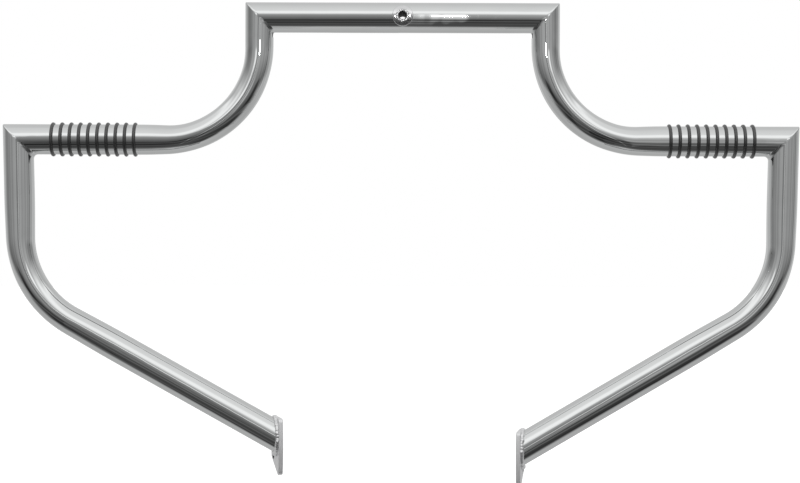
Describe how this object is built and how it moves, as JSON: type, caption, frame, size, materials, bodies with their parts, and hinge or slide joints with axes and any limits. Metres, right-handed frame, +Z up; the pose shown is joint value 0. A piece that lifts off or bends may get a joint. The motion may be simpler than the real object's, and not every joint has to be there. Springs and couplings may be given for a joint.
{
  "type": "motorcycle crash bars",
  "caption": "Welded chromed tube engine guard for a motorcycle, with mitred corners, bent shoulders and legs, rubber-ringed foot runs, a top bolt sleeve and lower bolt plates.",
  "frame": {"origin": "middle of the bolt sleeve, on the centre line of the top crossbar", "axes": "+X to the right across the guard as seen from the front, -Y to the front, +Z up; the tubes lie in the XZ plane"},
  "size_m": [0.8392, 0.0452, 0.5094],
  "materials": {
    "chromed_steel": "polished chrome plate",
    "chromed_weld": "chrome plate over dressed weld",
    "grip_rubber": "black moulded rubber"
  },
  "bodies": {
    "root": {"centre_bolt_sleeve": "chromed_steel", "left_corner_mitre_weld": "chromed_weld", "left_grip_ring_01": "grip_rubber", "left_grip_ring_02": "grip_rubber", "left_grip_ring_03": "grip_rubber", "left_grip_ring_04": "grip_rubber", "left_grip_ring_05": "grip_rubber", "left_grip_ring_06": "grip_rubber", "left_grip_ring_07": "grip_rubber", "left_grip_ring_08": "grip_rubber", "left_grip_ring_09": "grip_rubber", "left_grip_ring_10": "grip_rubber", "left_leg": "chromed_steel", "left_mount_plate": "chromed_steel", "left_plate_weld": "chromed_weld", "left_shoulder": "chromed_steel", "left_top_mitre_weld": "chromed_weld", "right_corner_mitre_weld": "chromed_weld", "right_grip_ring_01": "grip_rubber", "right_grip_ring_02": "grip_rubber", "right_grip_ring_03": "grip_rubber", "right_grip_ring_04": "grip_rubber", "right_grip_ring_05": "grip_rubber", "right_grip_ring_06": "grip_rubber", "right_grip_ring_07": "grip_rubber", "right_grip_ring_08": "grip_rubber", "right_grip_ring_09": "grip_rubber", "right_grip_ring_10": "grip_rubber", "right_leg": "chromed_steel", "right_mount_plate": "chromed_steel", "right_plate_weld": "chromed_weld", "right_shoulder": "chromed_steel", "right_top_mitre_weld": "chromed_weld", "sleeve_weld_front": "chromed_weld", "sleeve_weld_rear": "chromed_weld", "top_crossbar": "chromed_steel"}
  },
  "joints": []
}
